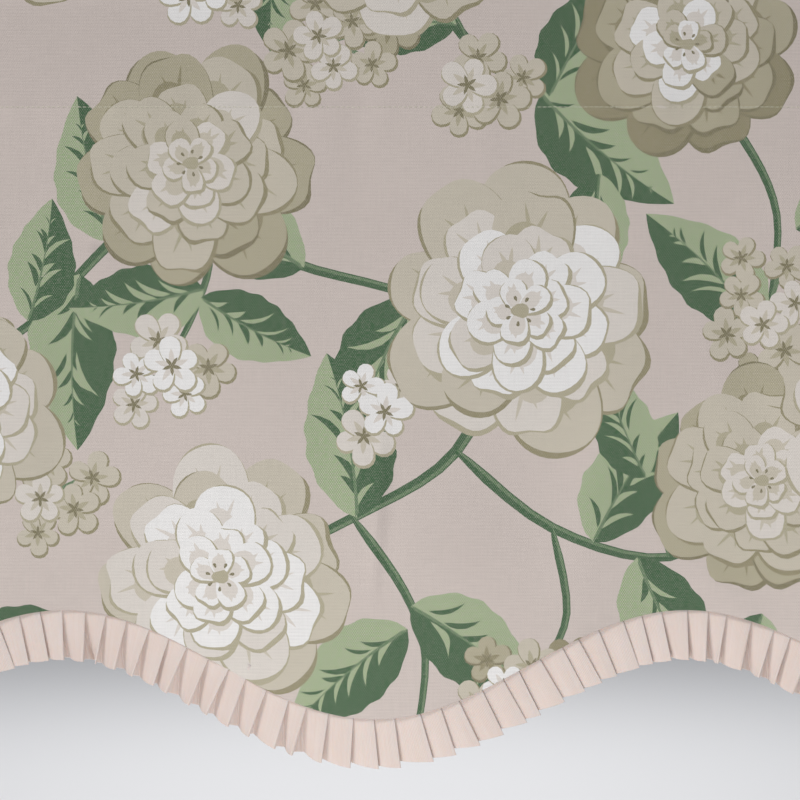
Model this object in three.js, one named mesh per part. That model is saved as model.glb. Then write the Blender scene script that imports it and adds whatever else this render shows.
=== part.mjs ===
// A scalloped window valance: one printed cloth with a rod pocket along its top,
// and a knife-pleated ribbon sewn behind its scalloped hem.
// Millimetres, +Z up, front towards -Y. The origin is on the axis of the rod pocket, at mid width.
import * as THREE from "three";
import { LoftGeometry } from "three/addons/geometries/LoftGeometry.js";

// Driving sizes of the cloth
const WIDTH = 1270;
const CLOTH_THICKNESS = 1.6;
const SCALLOPS = 3;
const SCALLOP_DEPTH = 73;
const HEM_MIDDLE_Z = -444;
const LAYER_GAP = 0.3;

// Driving sizes of the rod pocket, open as it is round a rod
const POCKET_RADIUS = 13;
const STITCH_LINE_Z = -67;
const FLAP_BELOW_STITCH = 6;

// Driving sizes of the pleated ribbon. A shut pleat tucks its back fold an underlay's length behind
// its front fold, and stands a stack's depth behind it. A wide open one has let it go past the front.
const RIBBON_THICKNESS = 1;
const RIBBON_CLEARANCE = 0.15;
const RIBBON_DROP = 34.5;
const RIBBON_ALLOWANCE = 10;
const PLEATS_PER_SCALLOP = 30;
const UNDERLAY = 6;
const OPEN_UNDERLAY = -4;
const STACK_DEPTH = 2.6;
const DEPTH_GAIN = { shut: 1.4, open: 6.5 };
const AHEAD_SHARE = 0.6;
const SWING_SHARE = 0.92;
const SHUT_LEAN = 0.05;

// How finely the curves are stepped
const STATIONS_PER_SCALLOP = 20;
const CLOTH_LEVELS = 6;
const POCKET_ARC_STEPS = 10;
const HEM_SAMPLES = 4000;
const FOLD_BEVEL = 0.05;

const SCALLOP_WIDTH = WIDTH / SCALLOPS;
const WAVE = (2 * Math.PI) / SCALLOP_WIDTH;

// Soft hanging folds: where each is at the hem, how far it stands forward there (or back, if
// negative), its half width, and how far it has leant sideways by the time it reaches the pocket.
const FOLDS = [
  { x: -560, forward: 4.5, halfWidth: 75, lean: 20 },
  { x: -455, forward: -3.0, halfWidth: 60, lean: 0 },
  { x: -345, forward: 4.0, halfWidth: 85, lean: -25 },
  { x: -205, forward: -5.0, halfWidth: 90, lean: 10 },
  { x: -65, forward: 3.0, halfWidth: 60, lean: 15 },
  { x: 20, forward: 3.5, halfWidth: 55, lean: 5 },
  { x: 115, forward: -2.0, halfWidth: 45, lean: -10 },
  { x: 215, forward: -5.5, halfWidth: 80, lean: -15 },
  { x: 330, forward: 3.5, halfWidth: 65, lean: 20 },
  { x: 450, forward: 4.5, halfWidth: 90, lean: 0 },
  { x: 575, forward: -4.0, halfWidth: 60, lean: -20 },
];
const FOLD_GROWTH = 1.3;
const FOLD_LOWEST = 1.2;

// Height of the scalloped hem line, and its slope, at x
function hemHeight(x) {
  return HEM_MIDDLE_Z - (SCALLOP_DEPTH / 2) * Math.cos(WAVE * x);
}

function hemSlope(x) {
  return (SCALLOP_DEPTH / 2) * WAVE * Math.sin(WAVE * x);
}

// How far the hanging cloth stands behind the plane under the rod (towards +Y)
function foldDepth(x, z) {
  const down = THREE.MathUtils.clamp((STITCH_LINE_Z - z) / (STITCH_LINE_Z - HEM_MIDDLE_Z), 0, FOLD_LOWEST);
  let forward = 0;
  for (const fold of FOLDS) {
    const away = (x - fold.x - fold.lean * (1 - down)) / fold.halfWidth;
    forward += fold.forward * Math.exp(-away * away);
  }
  return -forward * Math.pow(down, FOLD_GROWTH);
}

// Offsets of a polyline's points to one side: where its two neighbouring segments, moved sideways
// by the distance, meet. The points are (y, z) pairs.
function offsetPoint(before, at, after, distance) {
  const into = new THREE.Vector2().subVectors(at, before).normalize();
  const out = new THREE.Vector2().subVectors(after, at).normalize();
  const side = new THREE.Vector2(-into.y - out.y, into.x + out.x).normalize();
  const stretch = -into.y * side.x + into.x * side.y;
  return at.clone().addScaledVector(side, distance / stretch);
}

// The middle line of the cloth in the slice at x: up from the hem to the stitch line, round the
// rod pocket, and down behind to the edge of the turned-over flap.
function clothLine(x) {
  const hem = hemHeight(x);
  const front = -(CLOTH_THICKNESS + LAYER_GAP) / 2;
  const radius = POCKET_RADIUS + CLOTH_THICKNESS / 2;
  const line = [];
  for (let i = 0; i <= CLOTH_LEVELS; i++) {
    const z = THREE.MathUtils.lerp(hem, STITCH_LINE_Z, i / CLOTH_LEVELS);
    line.push(new THREE.Vector2(front + foldDepth(x, z), z));
  }
  const toStitch = Math.atan2(-STITCH_LINE_Z, -front);
  const halfGap = Math.acos(radius / Math.hypot(front, STITCH_LINE_Z));
  const first = Math.PI + toStitch - halfGap;
  const last = -toStitch + halfGap;
  for (let i = 0; i <= POCKET_ARC_STEPS; i++) {
    const angle = THREE.MathUtils.lerp(first, last, i / POCKET_ARC_STEPS);
    line.push(new THREE.Vector2(radius * Math.cos(angle), radius * Math.sin(angle)));
  }
  line.push(new THREE.Vector2(-front, STITCH_LINE_Z));
  const flapEnd = STITCH_LINE_Z - FLAP_BELOW_STITCH;
  line.push(new THREE.Vector2(-front + foldDepth(x, flapEnd), flapEnd));
  return line;
}

// The closed slice of the cloth at x, its two sides half a thickness off the middle line
function clothSlice(x) {
  const line = clothLine(x);
  const inner = [];
  const outer = [];
  line.forEach((point, i) => {
    const before = i ? line[i - 1] : point.clone().multiplyScalar(2).sub(line[1]);
    const after = line[i + 1] ?? point.clone().multiplyScalar(2).sub(line[i - 1]);
    const innerPoint = offsetPoint(before, point, after, -CLOTH_THICKNESS / 2);
    const outerPoint = offsetPoint(before, point, after, CLOTH_THICKNESS / 2);
    inner.push(new THREE.Vector3(x, innerPoint.x, innerPoint.y));
    outer.push(new THREE.Vector3(x, outerPoint.x, outerPoint.y));
  });
  return [...inner, ...outer.reverse()];
}

function makeCloth() {
  const slices = [];
  const steps = SCALLOPS * STATIONS_PER_SCALLOP;
  for (let i = 0; i <= steps; i++) {
    slices.push(clothSlice(THREE.MathUtils.lerp(-WIDTH / 2, WIDTH / 2, i / steps)));
  }
  return new LoftGeometry(slices, { capStart: true, capEnd: true });
}

// The hem line's x at equal steps of its own length, one for each pleat edge
function pleatEdges(count) {
  const travelled = [0];
  const step = WIDTH / HEM_SAMPLES;
  for (let i = 1; i <= HEM_SAMPLES; i++) {
    const x = -WIDTH / 2 + (i - 0.5) * step;
    travelled.push(travelled[i - 1] + step * Math.hypot(1, hemSlope(x)));
  }
  const edges = [];
  let i = 0;
  for (let k = 0; k <= count; k++) {
    const wanted = (travelled[HEM_SAMPLES] * k) / count;
    while (i < HEM_SAMPLES - 1 && travelled[i + 1] < wanted) i++;
    const share = (wanted - travelled[i]) / (travelled[i + 1] - travelled[i]);
    edges.push(-WIDTH / 2 + (i + THREE.MathUtils.clamp(share, 0, 1)) * step);
  }
  return edges;
}

const PLEATS = SCALLOPS * PLEATS_PER_SCALLOP;
const EDGES = pleatEdges(PLEATS);
const PLEAT_PITCH = Math.hypot(EDGES[1] - EDGES[0], hemHeight(EDGES[1]) - hemHeight(EDGES[0]));

// The heights below the hem line at which the ribbon's section is worked out, and how far a loose
// pleat has opened there, from 0 where it is sewn to 1 at its free edge
const RIBBON_LEVELS = [
  { below: RIBBON_DROP, opened: 1 },
  { below: 0.45 * RIBBON_DROP, opened: 0.4 },
  { below: 1, opened: 0 },
  { below: -RIBBON_ALLOWANCE, opened: 0 },
];

// How loosely pleat k hangs, from 0 to 1: those on a falling stretch of the hem swing open, and
// those on a rising stretch lie shut like tiles. The stretch starts a little before the hem falls,
// and two waves over the pleats' numbers make them uneven.
const LOOSE_STRETCH = { ahead: 0.35, from: -0.35, full: 0.55 };
const USUAL_LOOSENESS = 0.78;
const UNEVENNESS = [
  { amount: 0.22, turn: 2.3, start: 0 },
  { amount: 0.14, turn: 5.1, start: 1 },
];

function looseness(k, x) {
  const fall = -Math.sin(WAVE * x + LOOSE_STRETCH.ahead);
  const falling = THREE.MathUtils.smoothstep(fall, LOOSE_STRETCH.from, LOOSE_STRETCH.full);
  let usual = USUAL_LOOSENESS;
  for (const wave of UNEVENNESS) usual += wave.amount * Math.sin(wave.turn * k + wave.start);
  return THREE.MathUtils.clamp(falling * usual, 0, 1);
}

// The hem line's curvature at x, negative where it turns down
function hemBend(x) {
  const turn = (SCALLOP_DEPTH / 2) * WAVE * WAVE * Math.cos(WAVE * x);
  return -turn / Math.pow(1 + hemSlope(x) ** 2, 1.5);
}

// One pleat's two fold lines at each level: its front fold, which shows, and its back fold, which
// is tucked behind it. Across is the hem's direction there. A pleat hangs almost square to the hem,
// so its neighbours fan out or close in where the hem bends.
function makePleat(x, k) {
  const slope = Math.atan(hemSlope(x));
  const loose = looseness(k, x);
  const hang = SWING_SHARE * slope + SHUT_LEAN * (1 - loose);
  const down = new THREE.Vector3(Math.sin(hang), 0, -Math.cos(hang));
  const across = new THREE.Vector3(Math.cos(slope), 0, Math.sin(slope));
  const seam = new THREE.Vector3(x, 0, hemHeight(x));
  const levels = RIBBON_LEVELS.map(({ below, opened }) => {
    const spread = -hemBend(x) * SWING_SHARE * below * PLEAT_PITCH;
    const shut = UNDERLAY - spread / 2;
    const tucked = THREE.MathUtils.lerp(shut, OPEN_UNDERLAY, loose * opened);
    const depth = STACK_DEPTH + opened * (DEPTH_GAIN.shut + DEPTH_GAIN.open * loose);
    const ahead = AHEAD_SHARE * (depth - STACK_DEPTH);
    const frontFold = seam.clone().addScaledVector(down, below);
    const backFold = frontFold.clone().addScaledVector(across, -tucked);
    frontFold.y = ribbonDepth(frontFold) - ahead;
    backFold.y = ribbonDepth(backFold) + depth - ahead;
    return { frontFold, backFold };
  });
  return { across, levels };
}

// The ribbon's foremost middle surface where it is sewn: just clear of the cloth's back
function ribbonDepth(point) {
  const clothMiddle = -(CLOTH_THICKNESS + LAYER_GAP) / 2 + foldDepth(point.x, point.z);
  const behind = CLOTH_THICKNESS / 2 + LAYER_GAP + RIBBON_CLEARANCE + RIBBON_THICKNESS / 2;
  return clothMiddle + behind;
}

// A closed sheet between two grids of points, its front and its back. Both are split along the
// same diagonals, so the sheet keeps its thickness where it twists.
function sheetGeometry(front, back) {
  const rows = front.length;
  const columns = front[0].length;
  const f = (i, j) => i * columns + j;
  const b = (i, j) => (rows + i) * columns + j;
  const indices = [];
  const quad = (p, q, r, s) => indices.push(p, q, r, p, r, s);
  for (let i = 0; i < rows - 1; i++) {
    for (let j = 0; j < columns - 1; j++) {
      quad(f(i + 1, j), f(i + 1, j + 1), f(i, j + 1), f(i, j));
      quad(b(i, j + 1), b(i + 1, j + 1), b(i + 1, j), b(i, j));
    }
    const top = columns - 1;
    quad(f(i + 1, 0), f(i, 0), b(i, 0), b(i + 1, 0));
    quad(f(i, top), f(i + 1, top), b(i + 1, top), b(i, top));
  }
  const last = rows - 1;
  for (let j = 0; j < columns - 1; j++) {
    quad(f(0, j), f(0, j + 1), b(0, j + 1), b(0, j));
    quad(f(last, j + 1), f(last, j), b(last, j), b(last, j + 1));
  }
  const geometry = new THREE.BufferGeometry().setFromPoints([...front.flat(), ...back.flat()]);
  geometry.setIndex(indices);
  geometry.computeVertexNormals();
  return geometry;
}

// The two slices on either side of one fold, each with its front and its back points. On the
// fold's outside each is square to its own segment, and on its inside both lie where the
// segments' inner sides meet.
function foldSlices(previous, fold, next, across, turnsRight) {
  const half = RIBBON_THICKNESS / 2;
  const slices = [
    { front: [], back: [] },
    { front: [], back: [] },
  ];
  fold.forEach((at, level) => {
    const flat = (a, b) => {
      const along = new THREE.Vector3().subVectors(b, a);
      return new THREE.Vector2(along.dot(across), along.y).normalize();
    };
    const into = flat(previous[level], at);
    const out = flat(at, next[level]);
    const place = (v) => at.clone().addScaledVector(across, v.x).add(new THREE.Vector3(0, v.y, 0));
    const frontSide = (d) => new THREE.Vector2(d.y, -d.x);
    const outside = turnsRight ? 1 : -1;
    const bisector = new THREE.Vector2().subVectors(out, into).normalize();
    const halfAngle = Math.acos(THREE.MathUtils.clamp(-into.dot(out), -1, 1)) / 2;
    const inside = bisector.multiplyScalar(half / Math.sin(halfAngle));
    const outerPoints = [into, out].map((d) => place(frontSide(d).multiplyScalar(half * outside)));
    const innerPoints = [
      place(inside.clone().addScaledVector(into, -FOLD_BEVEL)),
      place(inside.clone().addScaledVector(out, FOLD_BEVEL)),
    ];
    slices.forEach((slice, i) => {
      slice.front.push(turnsRight ? outerPoints[i] : innerPoints[i]);
      slice.back.push(turnsRight ? innerPoints[i] : outerPoints[i]);
    });
  });
  return slices;
}

// A cut end of the ribbon, square to its one segment
function endSlice(at, towards, across, direction) {
  const half = RIBBON_THICKNESS / 2;
  const front = [];
  const back = [];
  at.forEach((point, level) => {
    const along = new THREE.Vector3().subVectors(towards[level], point).multiplyScalar(direction);
    const d = new THREE.Vector2(along.dot(across), along.y).normalize();
    const side = across.clone().multiplyScalar(d.y).add(new THREE.Vector3(0, -d.x, 0));
    front.push(point.clone().addScaledVector(side, half));
    back.push(point.clone().addScaledVector(side, -half));
  });
  return { front, back };
}

function makeRibbon() {
  const pleats = EDGES.map(makePleat);
  const frontLine = (k) => pleats[k].levels.map((level) => level.frontFold);
  const backLine = (k) => pleats[k].levels.map((level) => level.backFold);
  const start = pleats[0].levels.map((level) => {
    const point = level.frontFold.clone();
    point.y = level.backFold.y;
    return point;
  });
  const slices = [endSlice(start, frontLine(1), pleats[0].across, 1)];
  for (let k = 1; k < PLEATS; k++) {
    const before = k === 1 ? start : backLine(k - 1);
    slices.push(...foldSlices(before, frontLine(k), backLine(k), pleats[k].across, true));
    slices.push(...foldSlices(frontLine(k), backLine(k), frontLine(k + 1), pleats[k].across, false));
  }
  slices.push(endSlice(frontLine(PLEATS), backLine(PLEATS - 1), pleats[PLEATS].across, -1));
  return sheetGeometry(
    slices.map(({ front }) => front),
    slices.map(({ back }) => back),
  );
}

const clothMaterial = new THREE.MeshStandardMaterial({ color: 0xc9beb6, roughness: 0.9, metalness: 0 });
const ribbonMaterial = new THREE.MeshStandardMaterial({ color: 0xe4d2c8, roughness: 0.7, metalness: 0 });

const valance = new THREE.Group();
const cloth = new THREE.Mesh(makeCloth(), clothMaterial);
cloth.name = "cloth";
valance.add(cloth);
const ribbon = new THREE.Mesh(makeRibbon(), ribbonMaterial);
ribbon.name = "pleated_ribbon";
valance.add(ribbon);

export default valance;
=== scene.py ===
import math
import random

import bpy
import numpy as np
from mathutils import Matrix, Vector
from mathutils.bvhtree import BVHTree
from mathutils.geometry import delaunay_2d_cdt


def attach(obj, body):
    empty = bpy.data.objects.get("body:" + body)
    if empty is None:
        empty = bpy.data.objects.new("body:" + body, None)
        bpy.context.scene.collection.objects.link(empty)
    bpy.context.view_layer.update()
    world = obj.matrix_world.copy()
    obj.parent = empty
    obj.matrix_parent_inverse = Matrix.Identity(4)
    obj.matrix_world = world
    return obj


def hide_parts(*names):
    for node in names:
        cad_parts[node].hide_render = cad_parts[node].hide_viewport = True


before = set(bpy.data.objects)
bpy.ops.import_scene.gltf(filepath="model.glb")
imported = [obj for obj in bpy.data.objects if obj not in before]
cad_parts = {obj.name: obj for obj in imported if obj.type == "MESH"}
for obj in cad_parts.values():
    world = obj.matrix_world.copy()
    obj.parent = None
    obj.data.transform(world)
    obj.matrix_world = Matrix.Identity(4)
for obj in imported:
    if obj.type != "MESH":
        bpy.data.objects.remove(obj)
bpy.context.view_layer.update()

# Printed cloth: one width of plain-weave cotton and linen. Its scalloped lower edge and its sides
# are turned under, and its top is turned over to the back and stitched down as a rod pocket.
# All sizes are in millimetres, and every mesh is brought to metres as it is made.
MM = 0.001
WIDTH = 1270.0
SCALLOPS = 3
SCALLOP_DEPTH = 73.0
HEM_MIDDLE_Z = -444.0
STITCH_Z = -67.0
FACE_Y = -1.75
CLOTH_THICKNESS = 0.6
TURN_RADIUS = 0.65
TURN_LENGTH = math.pi * TURN_RADIUS
HEM_ALLOWANCE = 12.0
POCKET_RADIUS = 14.6
FLAP_Y = 0.9
FLAP_DROP = 6.0
FLAP_TUCK = 5.0
WAVE = 2 * math.pi * SCALLOPS / WIDTH

# Soft hanging folds: where each is at the hem, how far it stands forward there, its half width,
# and how far it has leant sideways by the time it reaches the pocket
FOLDS = [
    # x, forward, half width, lean
    (-560, 4.5, 75, 20),
    (-455, -3.0, 60, 0),
    (-345, 4.0, 85, -25),
    (-205, -5.0, 90, 10),
    (-65, 3.0, 60, 15),
    (20, 3.5, 55, 5),
    (115, -2.0, 45, -10),
    (215, -5.5, 80, -15),
    (330, 3.5, 65, 20),
    (450, 4.5, 90, 0),
    (575, -4.0, 60, -20),
]
FOLD_GROWTH = 1.3
FOLD_LOWEST = 1.2

# Faint creases left from packing and handling: the middle of each, its half length, its slant
# from upright in degrees, its half width, and how far it stands forward
CREASES = [
    # x, z, half length, slant, half width, forward
    (2, -338, 62, 3, 4.5, 1.1),
    (11, -350, 50, 6, 6.0, -0.7),
    (-14, -300, 60, -4, 14.0, 1.3),
    (-182, -170, 90, -8, 16.0, 1.7),
    (-215, -300, 70, 6, 14.0, -1.5),
    (150, -330, 80, 12, 18.0, 1.9),
    (60, -120, 60, 84, 12.0, 1.0),
    (-80, -440, 60, 58, 12.0, -1.3),
    (250, -230, 90, -14, 16.0, -1.6),
    (240, -400, 50, -40, 12.0, 1.3),
    (-420, -230, 90, 10, 15.0, 1.7),
    (-530, -330, 70, -16, 16.0, -1.7),
    (400, -180, 80, 14, 14.0, 1.5),
    (520, -340, 80, -10, 16.0, 1.7),
]
# Small puckers that the stitch line draws into the cloth on both sides: millimetres for each
# full wave along the seam, and how deep
PUCKERS = [
    # wave length, depth
    (61.0, 0.4),
    (37.0, 0.3),
    (23.0, 0.18),
]
PUCKER_REACH = 26.0
SEAM_GROOVE = 0.3
SEAM_GROOVE_HALF = 1.6


def hem_height(x):
    return HEM_MIDDLE_Z - SCALLOP_DEPTH / 2 * np.cos(WAVE * x)


def hem_slope(x):
    return SCALLOP_DEPTH / 2 * WAVE * np.sin(WAVE * x)


def fold_depth(x, z):
    """How far the hanging cloth stands behind the plane under the rod."""
    down = np.clip((STITCH_Z - z) / (STITCH_Z - HEM_MIDDLE_Z), 0, FOLD_LOWEST)
    forward = np.zeros_like(down)
    for at, height, half_width, lean in FOLDS:
        away = (x - at - lean * (1 - down)) / half_width
        forward += height * np.exp(-(away**2))
    return -forward * down**FOLD_GROWTH


def relief(x, z):
    """How far creases and puckers stand forward of the folds."""
    forward = np.zeros_like(x)
    for at, middle, half_length, slant, half_width, height in CREASES:
        turn = math.radians(slant)
        along = (z - middle) * math.cos(turn) + (x - at) * math.sin(turn)
        across = (x - at) * math.cos(turn) - (z - middle) * math.sin(turn)
        forward += height * np.exp(-((across / half_width) ** 2) - (along / half_length) ** 4)
    from_seam = z - STITCH_Z
    near_seam = np.exp(-np.abs(from_seam) / PUCKER_REACH)
    for k, (length, depth) in enumerate(PUCKERS):
        drift = 0.9 * np.sin(x / (2.7 * length) + k)
        forward += depth * near_seam * np.sin(2 * math.pi * x / length + drift)
    forward -= SEAM_GROOVE * np.exp(-((from_seam / SEAM_GROOVE_HALF) ** 2))
    return forward


def turned_out(past):
    """How far past a turned edge's line the cloth reaches, given how much cloth lies past it."""
    return np.where(past < TURN_LENGTH, TURN_RADIUS * np.sin(past / TURN_RADIUS), TURN_LENGTH - past)


def turned_in(past):
    """How far behind the face the turned cloth lies."""
    round_it = TURN_RADIUS * (1 - np.cos(past / TURN_RADIUS))
    return np.where(past < TURN_LENGTH, round_it, 2 * TURN_RADIUS)


# The pocket's section, as it goes up from the stitch line: a straight front, an arc round the
# rod's place, a straight back, and the flap below the stitch line
FRONT_REACH = math.hypot(FACE_Y, STITCH_Z)
BACK_REACH = math.hypot(FLAP_Y, STITCH_Z)
FRONT_ANGLE = 2 * math.pi + math.atan2(STITCH_Z, FACE_Y) - math.acos(POCKET_RADIUS / FRONT_REACH)
BACK_ANGLE = math.atan2(STITCH_Z, FLAP_Y) + math.acos(POCKET_RADIUS / BACK_REACH)
FRONT_END = math.sqrt(FRONT_REACH**2 - POCKET_RADIUS**2)
ARC_END = FRONT_END + POCKET_RADIUS * (FRONT_ANGLE - BACK_ANGLE)
BACK_END = ARC_END + math.sqrt(BACK_REACH**2 - POCKET_RADIUS**2)
FLAP_END = BACK_END + FLAP_DROP


def pocket(up):
    """The pocket's section: y, z and the way into the cloth, that much cloth above the seam."""
    angle = FRONT_ANGLE - (np.clip(up, FRONT_END, ARC_END) - FRONT_END) / POCKET_RADIUS
    y = POCKET_RADIUS * np.cos(angle)
    z = POCKET_RADIUS * np.sin(angle)
    rise = np.clip(up / FRONT_END, 0, 1)
    y = np.where(up < FRONT_END, FACE_Y + (y - FACE_Y) * rise, y)
    z = np.where(up < FRONT_END, STITCH_Z + (z - STITCH_Z) * rise, z)
    fall = np.clip((up - ARC_END) / (BACK_END - ARC_END), 0, 1)
    y = np.where(up > ARC_END, y + (FLAP_Y - y) * fall, y)
    z = np.where(up > ARC_END, z + (STITCH_Z - z) * fall, z)
    z = z - np.clip(up - BACK_END, 0, FLAP_DROP)
    tucked = np.maximum(up - FLAP_END, 0)
    y = y - turned_in(tucked)
    z = z - turned_out(tucked)
    in_y = np.where(up > BACK_END, -1.0, -np.cos(angle))
    in_z = np.where(up > BACK_END, 0.0, -np.sin(angle))
    return y, z, in_y, in_z


def hung(u, v):
    """Where points of the flat cut lie on the printed face of the hung cloth. u runs along the
    width and v up the cut, and on the hanging front v is the height itself."""
    u, v = np.asarray(u, float), np.asarray(v, float)
    beside = np.maximum(np.abs(u) - WIDTH / 2, 0)
    x = np.clip(u, -WIDTH / 2, WIDTH / 2) + np.sign(u) * turned_out(beside) * (beside > 0)
    side_in = turned_in(beside)
    hem = hem_height(np.clip(u, -WIDTH / 2, WIDTH / 2))
    below = np.maximum(hem - v, 0)
    z = np.where(below > 0, hem - turned_out(below), v)
    y = FACE_Y + fold_depth(x, z) - relief(x, z) + turned_in(below) + side_in
    up = np.maximum(v - STITCH_Z, 0)
    pocket_y, pocket_z, in_y, in_z = pocket(up)
    inward = side_in - relief(x, v) * np.exp(-up / FRONT_END)
    inward = np.where(up > BACK_END, side_in, inward)
    in_pocket = v > STITCH_Z
    y = np.where(in_pocket, pocket_y + in_y * inward, y)
    z = np.where(in_pocket, pocket_z + in_z * inward, z)
    return np.column_stack([x, y, z])


NUDGE = 0.05


def outward(u, v):
    """Unit normals of the printed face."""
    along = hung(u + NUDGE, v) - hung(u - NUDGE, v)
    upward = hung(u, v + NUDGE) - hung(u, v - NUDGE)
    normal = np.cross(along, upward)
    return normal / np.linalg.norm(normal, axis=1)[:, None]


# The print: full blooms, sprays of small blossom, plain leaves and stems, in one repeat of half
# the width. Each motif is a list of outlines, each with its dye, and later ones lie on top.
def linear(red, green, blue):
    """A colour in Blender's linear values, from the values 0 to 255 that a screen shows."""
    shown = np.array([red, green, blue]) / 255
    return np.where(shown <= 0.04045, shown / 12.92, ((shown + 0.055) / 1.055) ** 2.4)


DYES = [
    # name, colour, how strongly the weave speckles it with bare crowns and with painted shade
    # between the yarns
    ("ground", linear(200, 189, 183), 0.0),
    ("white", linear(229, 228, 227), 0.08),
    ("pale", linear(213, 207, 200), 0.12),
    ("cream", linear(198, 191, 175), 0.3),
    ("sage", linear(178, 172, 146), 0.55),
    ("olive", linear(148, 142, 110), 0.6),
    ("moss", linear(128, 123, 92), 0.6),
    ("leaf_light", linear(166, 187, 144), 1.0),
    ("leaf_mid", linear(100, 130, 94), 0.6),
    ("leaf_dark", linear(61, 98, 65), 0.42),
]
DYE_NAMES = [name for name, _, _ in DYES]
GROUND = DYE_NAMES.index("ground")
# The dye of a petal's shaded foot and veins, and that of the shadow under it
SHADE_OF = {"white": "pale", "pale": "cream", "cream": "sage", "sage": "olive", "olive": "moss"}
SHADOW_OF = {"white": "sage", "pale": "sage", "cream": "olive", "sage": "moss", "olive": "moss"}
REPEAT = 635.0
hand = random.Random(11)


def placed(along, across, x, z, angle):
    """Points given along and across a motif's own line, turned and moved to its place."""
    c, s = math.cos(angle), math.sin(angle)
    return np.column_stack([x + along * c - across * s, z + along * s + across * c])


def around(x, z, reach, angle):
    """The point at that reach from another, in one direction."""
    return x + reach * math.cos(angle), z + reach * math.sin(angle)


PETAL_POINTS = 9
PETAL_STEP = 3.0
FOOT_NARROWS = 0.45
NOTCH_HALF = 0.4


def petal(x, z, length, width, angle, notch=0.0, waver=0.0):
    """A rounded petal, narrow at its foot, and perhaps notched at its tip."""
    turns = np.linspace(0, 2 * np.pi, int(PETAL_POINTS + length / PETAL_STEP) + 1)[:-1]
    along = (1 - np.cos(turns)) / 2
    fullness = 1 - FOOT_NARROWS + FOOT_NARROWS * along
    across = np.sin(turns) * fullness * (1 + waver * np.sin(2 * turns + 3 * angle))
    along = along - notch * np.exp(-(((turns - np.pi) / NOTCH_HALF) ** 2))
    along = along * (1 + 0.5 * waver * np.sin(3 * turns + 5 * angle))
    return placed(length * along, width / 2 * across, x, z, angle)


STROKE_ALONG = np.array([0, 0.15, 0.35, 0.6, 0.82, 1.0, 0.82, 0.6, 0.35, 0.15])
STROKE_SIDE = np.array([0, 0.36, 0.5, 0.46, 0.26, 0, -0.26, -0.46, -0.5, -0.36])


def stroke(x, z, length, width, angle, bend=0.0):
    """A brush stroke that swells in its middle and runs out at both ends."""
    along = length * STROKE_ALONG
    across = STROKE_SIDE * width + bend * (STROKE_ALONG - STROKE_ALONG**2) * 4
    return placed(along, across, x, z, angle)


# A bloom's rings of petals from the outside in
RINGS = [
    # reach as a share of the radius, count, width as a share of the reach, tone
    (1.00, 9, 0.74, 0),
    (0.85, 9, 0.74, 1),
    (0.69, 8, 0.80, 2),
    (0.53, 7, 0.86, 2),
    (0.38, 6, 0.92, 3),
    (0.24, 5, 0.98, 3),
]
# The dyes of each kind of bloom or spray, from its outside in
TONES = {
    "white": ["cream", "pale", "white", "white"],
    "cream": ["sage", "cream", "cream", "pale"],
    "mixed": ["olive", "sage", "cream", "white"],
}
RING_TURN = 0.6
DEEPER_BELOW = 0.2
PALER_ABOVE = 0.86
SHADOW_EDGE = 0.014
VEIN_FOOT = 0.55
VEIN_SPREAD = 0.33
HEART = 0.13
STAMENS = 7
STAMEN_RING = 0.07


def bloom(x, z, radius, tone, turn):
    """A full round bloom: each petal throws a shadow on those under it, and has a shaded foot
    with two veins."""
    shapes = []
    tones = TONES[tone]
    for ring, (reach, count, width, level) in enumerate(RINGS):
        step = 2 * math.pi / count
        for k in [*range(0, count, 2), *range(1, count, 2)]:
            angle = turn + ring * RING_TURN + k * step + hand.uniform(-0.12, 0.12)
            length = radius * reach * hand.uniform(0.9, 1.06)
            across = length * width * hand.uniform(0.92, 1.08)
            strays = hand.random()
            dye = tones[level]
            if strays < DEEPER_BELOW:
                dye = tones[max(level - 1, 0)]
            elif strays > PALER_ABOVE:
                dye = tones[min(level + 1, 3)]
            notch = hand.choice([0.0, 0.05, 0.09])
            edge = SHADOW_EDGE * radius
            under = petal(x + 0.6 * edge, z - edge, length + edge, across + 2 * edge, angle, notch)
            shapes.append((under, SHADOW_OF[dye]))
            shapes.append((petal(x, z, length, across, angle, notch, 0.04), dye))
            foot = length * hand.uniform(0.68, 0.76)
            shapes.append((petal(x, z, foot, 0.6 * across, angle + 0.1), SHADE_OF[dye]))
            vein_foot = around(x, z, VEIN_FOOT * length, angle)
            for side in (-1, 1):
                reach_out = length * hand.uniform(0.22, 0.34)
                vein = stroke(*vein_foot, reach_out, 0.03 * radius, angle + side * VEIN_SPREAD)
                shapes.append((vein, SHADE_OF[dye]))
    heart = HEART * radius
    shapes.append((petal(x - heart / 2, z, heart, heart, 0), SHADOW_OF[tones[3]]))
    for k in range(STAMENS):
        angle = turn + k * 2 * math.pi / STAMENS
        place = around(x, z, STAMEN_RING * radius, angle)
        shapes.append((petal(*place, 0.04 * radius, 0.03 * radius, angle), "moss"))
    return shapes


def blossom(x, z, size, dye, turn):
    """A small five-petalled blossom, with a shaded throat and a star at its heart."""
    shapes = []
    step = 2 * math.pi / 5
    for k in (0, 2, 4, 1, 3):
        angle = turn + k * step + hand.uniform(-0.08, 0.08)
        length = size * hand.uniform(0.92, 1.08)
        shapes.append((petal(x + 0.6, z - 1.0, length + 1, length, angle), SHADOW_OF[dye]))
        shapes.append((petal(x, z, length, 0.9 * length, angle), dye))
    for shift, long, wide, colour in ((0, 0.62, 0.2, SHADE_OF[dye]), (0.5, 0.36, 0.13, "moss")):
        for k in range(5):
            angle = turn + (k + shift) * step
            shapes.append((stroke(x, z, long * size, wide * size, angle), colour))
    return shapes


GOLDEN_ANGLE = math.pi * (3 - math.sqrt(5))
STALK_WIDTH = 3.0
STALK_BEND = 2.5


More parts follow.
